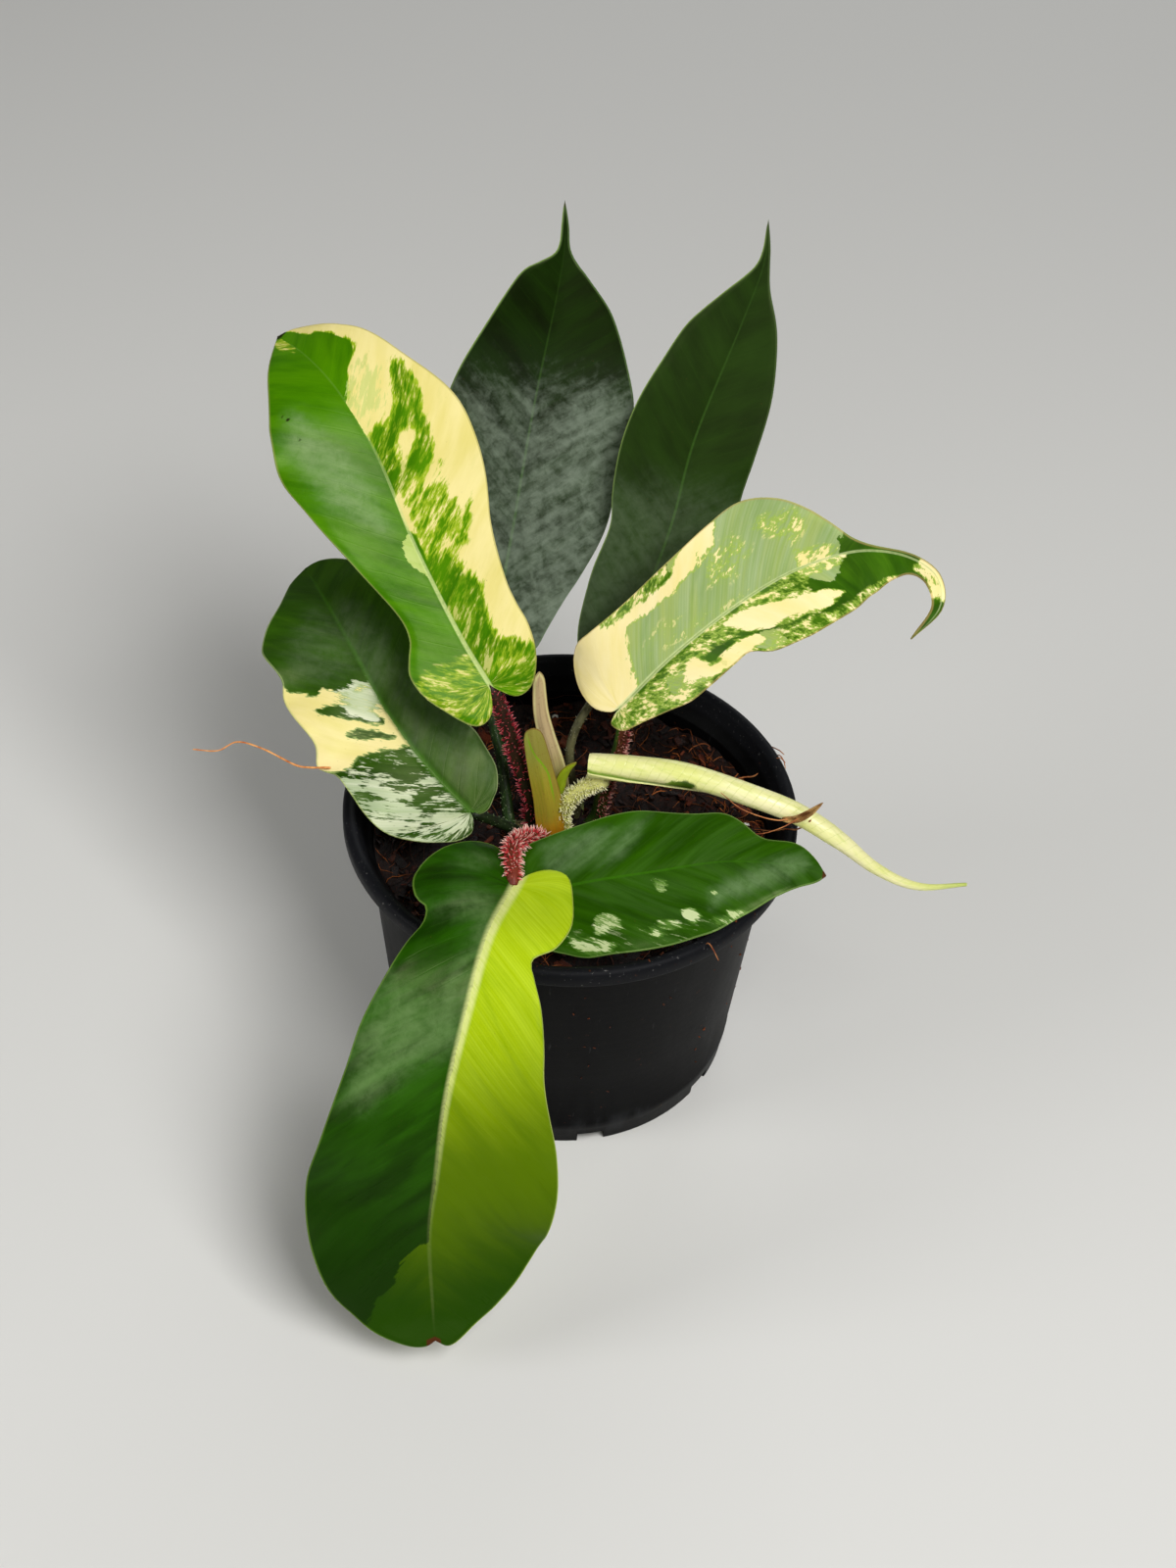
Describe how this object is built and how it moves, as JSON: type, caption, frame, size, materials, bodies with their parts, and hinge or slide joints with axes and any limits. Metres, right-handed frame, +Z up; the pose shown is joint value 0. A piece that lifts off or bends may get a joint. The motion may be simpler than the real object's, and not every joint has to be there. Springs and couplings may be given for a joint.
{
  "type": "potted philodendron",
  "caption": "Potted variegated philodendron with violin-shaped cream and green leaves, bristly petioles and a rolled new leaf, in a tapered black nursery pot of coco husk mix.",
  "frame": {"origin": "centre of the pot's flat base, on the surface it stands on", "axes": "+Z up along the pot's axis; the leaf that hangs over the rim points towards -Y, the side the plant is looked at from; +X to the viewer's right"},
  "size_m": [0.2703, 0.259, 0.2927],
  "materials": {
    "black_plastic": "moulded black nursery-pot plastic, satin, dusty and scuffed at the rim",
    "husk_mix": "damp coco husk chips and fibres, dark red-brown",
    "perlite": "white expanded grain",
    "stem_bark": "green-brown fleshy stem",
    "leaf_green": "dark green satin leaf with pale side veins",
    "leaf_variegated": "leaf marbled dark green, lime and cream",
    "leaf_new": "pale yellow-green rolled new leaf",
    "petiole_red": "red-brown petiole with fleshy bristles",
    "petiole_green": "green petiole with pale flecks",
    "petiole_cream": "cream petiole with pale bristles",
    "sheath": "yellow-green sheath leaf, papery brown at the foot",
    "dry_plant": "dry orange-brown root fibre and husk flake"
  },
  "bodies": {
    "root": {"dry_flake": "dry_plant", "dry_root": "dry_plant", "leaf_1_blade": "leaf_variegated", "leaf_1_petiole": "petiole_red", "leaf_2_blade": "leaf_green", "leaf_2_petiole": "petiole_green", "leaf_3_blade": "leaf_green", "leaf_3_petiole": "petiole_green", "leaf_4_blade": "leaf_variegated", "leaf_4_petiole": "petiole_red", "leaf_5_blade": "leaf_variegated", "leaf_5_petiole": "petiole_green", "leaf_6_blade": "leaf_green", "leaf_6_petiole": "petiole_green", "leaf_7_blade": "leaf_variegated", "leaf_7_petiole": "petiole_red", "leaf_8_petiole": "petiole_cream", "leaf_8_rolled_blade": "leaf_new", "perlite_1": "perlite", "perlite_2": "perlite", "perlite_3": "perlite", "pot": "black_plastic", "potting_mix": "husk_mix", "sheath_back": "sheath", "sheath_front": "sheath", "sheath_tip": "sheath", "stem": "stem_bark"}
  },
  "joints": []
}
